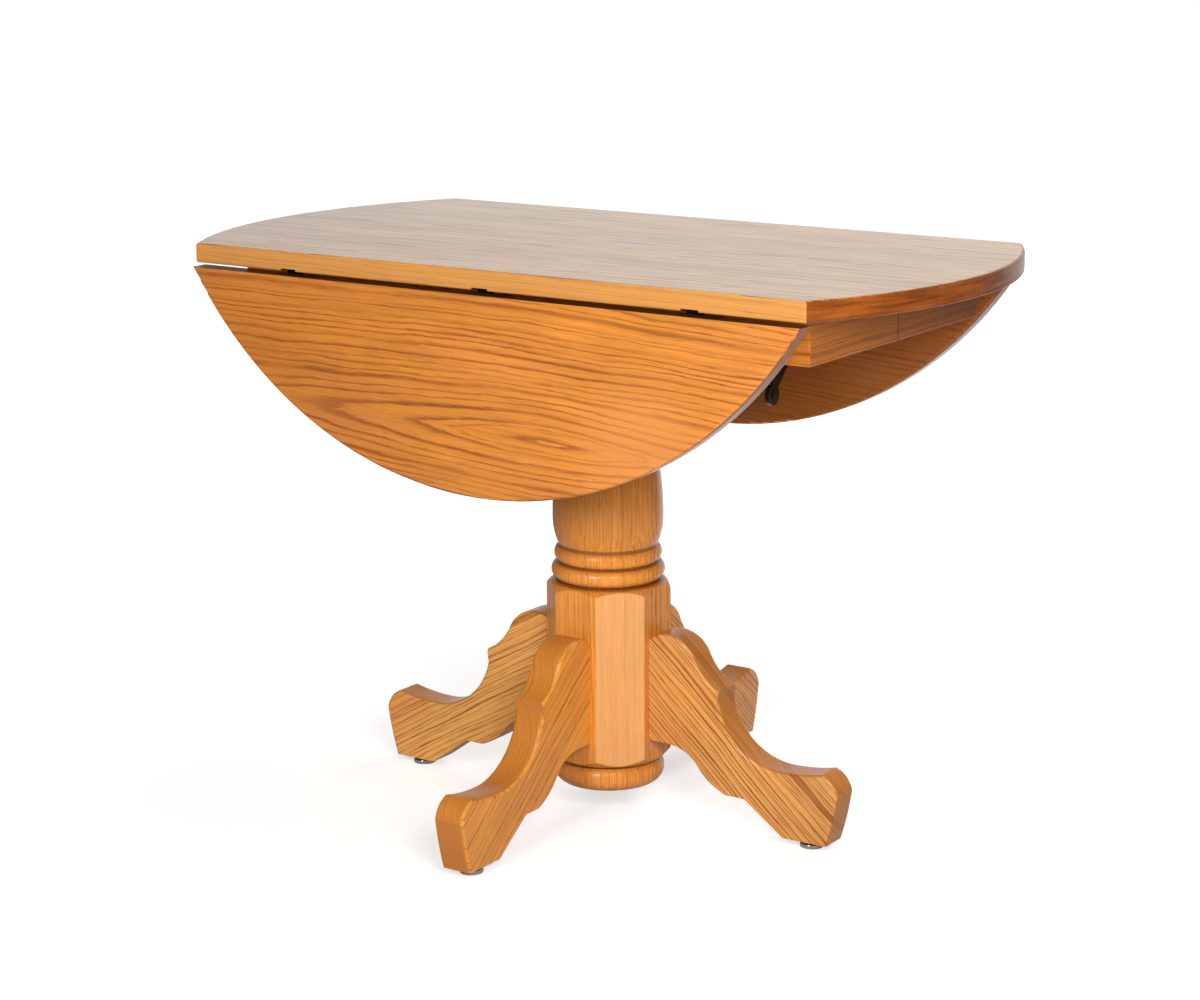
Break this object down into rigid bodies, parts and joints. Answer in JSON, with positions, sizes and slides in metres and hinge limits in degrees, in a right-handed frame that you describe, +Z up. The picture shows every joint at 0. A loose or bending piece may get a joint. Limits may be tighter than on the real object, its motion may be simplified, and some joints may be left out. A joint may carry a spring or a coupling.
{
  "type": "drop-leaf pedestal table",
  "caption": "Round oak drop-leaf dining table on a turned pedestal: hanging leaves lift on hinges and folding stays, and the split top slides apart on equalised wooden slides.",
  "frame": {"origin": "on the floor, under the middle of the pedestal", "axes": "+X along the hinge lines, +Y towards the back leaf, +Z up"},
  "size_m": [1.0668, 0.723, 0.759],
  "materials": {
    "stained_oak": "honey stain, satin lacquer",
    "slide_hardwood": "bare hardwood",
    "zinc_steel": "zinc plated",
    "black_steel": "black enamel",
    "polished_steel": "polished nickel",
    "hinge_steel": "plain steel",
    "black_plastic": "black",
    "nylon": "natural nylon"
  },
  "bodies": {
    "base": {"pedestal_column": "stained_oak", "leg_right": "stained_oak", "leg_back": "stained_oak", "leg_left": "stained_oak", "leg_front": "stained_oak", "foot_glides": "polished_steel", "glide_collars": "black_plastic", "leg_hanger_bolts": "zinc_steel", "leg_bolt_nuts": "zinc_steel", "leg_dowels": "slide_hardwood", "mounting_plate": "slide_hardwood", "plate_lag_screws": "zinc_steel", "slide_centre_left": "slide_hardwood", "slide_centre_right": "slide_hardwood", "slide_centre_screws": "zinc_steel", "pinion_axle": "zinc_steel"},
    "pinion": {"equaliser_pinion": "nylon"},
    "half_front": {"top_front": "stained_oak", "apron_rail_front": "stained_oak", "apron_end_front_left": "stained_oak", "apron_end_front_right": "stained_oak", "corner_blocks_front": "slide_hardwood", "slide_front_left": "slide_hardwood", "slide_front_right": "slide_hardwood", "rack_front": "slide_hardwood", "top_screws_front": "zinc_steel", "hinge_plates_front": "hinge_steel", "hinge_pins_front": "zinc_steel", "hinge_screws_front": "zinc_steel", "stay_brackets_front": "black_steel", "alignment_dowels": "slide_hardwood"},
    "drop_leaf_front": {"leaf_front": "stained_oak", "leaf_hinge_plates_front": "hinge_steel", "leaf_stay_brackets_front": "black_steel", "leaf_screws_front": "zinc_steel"},
    "upper_arms_front": {"stay_upper_arms_front": "black_steel"},
    "lower_arms_front": {"stay_lower_arms_front": "black_steel"},
    "half_back": {"top_back": "stained_oak", "apron_rail_back": "stained_oak", "apron_end_back_left": "stained_oak", "apron_end_back_right": "stained_oak", "corner_blocks_back": "slide_hardwood", "slide_back_left": "slide_hardwood", "slide_back_right": "slide_hardwood", "rack_back": "slide_hardwood", "top_screws_back": "zinc_steel", "hinge_plates_back": "hinge_steel", "hinge_pins_back": "zinc_steel", "hinge_screws_back": "zinc_steel", "stay_brackets_back": "black_steel"},
    "drop_leaf_back": {"leaf_back": "stained_oak", "leaf_hinge_plates_back": "hinge_steel", "leaf_stay_brackets_back": "black_steel", "leaf_screws_back": "zinc_steel"},
    "upper_arms_back": {"stay_upper_arms_back": "black_steel"},
    "lower_arms_back": {"stay_lower_arms_back": "black_steel"}
  },
  "joints": [
    {"name": "front_half_slide", "type": "slide", "parent": "base", "child": "half_front", "axis": [0, -1, 0], "range_m": [0, 0.1524]},
    {"name": "back_half_slide", "type": "slide", "parent": "base", "child": "half_back", "axis": [0, 1, 0], "range_m": [0, 0.1524]},
    {"name": "pinion_turn", "type": "hinge", "parent": "base", "child": "pinion", "pos_m": [0, 0, 0.6976], "axis": [0, 0, 1], "range_deg": [-292, 0]},
    {"name": "front_leaf_hinge", "type": "hinge", "parent": "half_front", "child": "drop_leaf_front", "pos_m": [0, -0.27065, 0.73985], "axis": [-1, 0, 0], "range_deg": [0, 90]},
    {"name": "front_stay_upper_pivot", "type": "hinge", "parent": "half_front", "child": "upper_arms_front", "pos_m": [0, -0.2055, 0.6577], "axis": [-1, 0, 0], "range_deg": [0, 114.14]},
    {"name": "front_stay_lower_pivot", "type": "hinge", "parent": "drop_leaf_front", "child": "lower_arms_front", "pos_m": [0, -0.2524, 0.60785], "axis": [-1, 0, 0], "range_deg": [-113.71, 0]},
    {"name": "back_leaf_hinge", "type": "hinge", "parent": "half_back", "child": "drop_leaf_back", "pos_m": [0, 0.27065, 0.73985], "axis": [1, 0, 0], "range_deg": [0, 90]},
    {"name": "back_stay_upper_pivot", "type": "hinge", "parent": "half_back", "child": "upper_arms_back", "pos_m": [0, 0.2055, 0.6577], "axis": [1, 0, 0], "range_deg": [0, 114.14]},
    {"name": "back_stay_lower_pivot", "type": "hinge", "parent": "drop_leaf_back", "child": "lower_arms_back", "pos_m": [0, 0.2524, 0.60785], "axis": [1, 0, 0], "range_deg": [-113.71, 0]}
  ],
  "couplings": [
    {"joint": "back_half_slide", "follows": "front_half_slide", "ratio": 1},
    {"joint": "pinion_turn", "follows": "front_half_slide", "rad_per_m": -33.333},
    {"joint": "front_stay_upper_pivot", "follows": "front_leaf_hinge", "ratio": 1.2671},
    {"joint": "front_stay_lower_pivot", "follows": "front_leaf_hinge", "ratio": -1.2624},
    {"joint": "back_stay_upper_pivot", "follows": "back_leaf_hinge", "ratio": 1.2671},
    {"joint": "back_stay_lower_pivot", "follows": "back_leaf_hinge", "ratio": -1.2624}
  ]
}
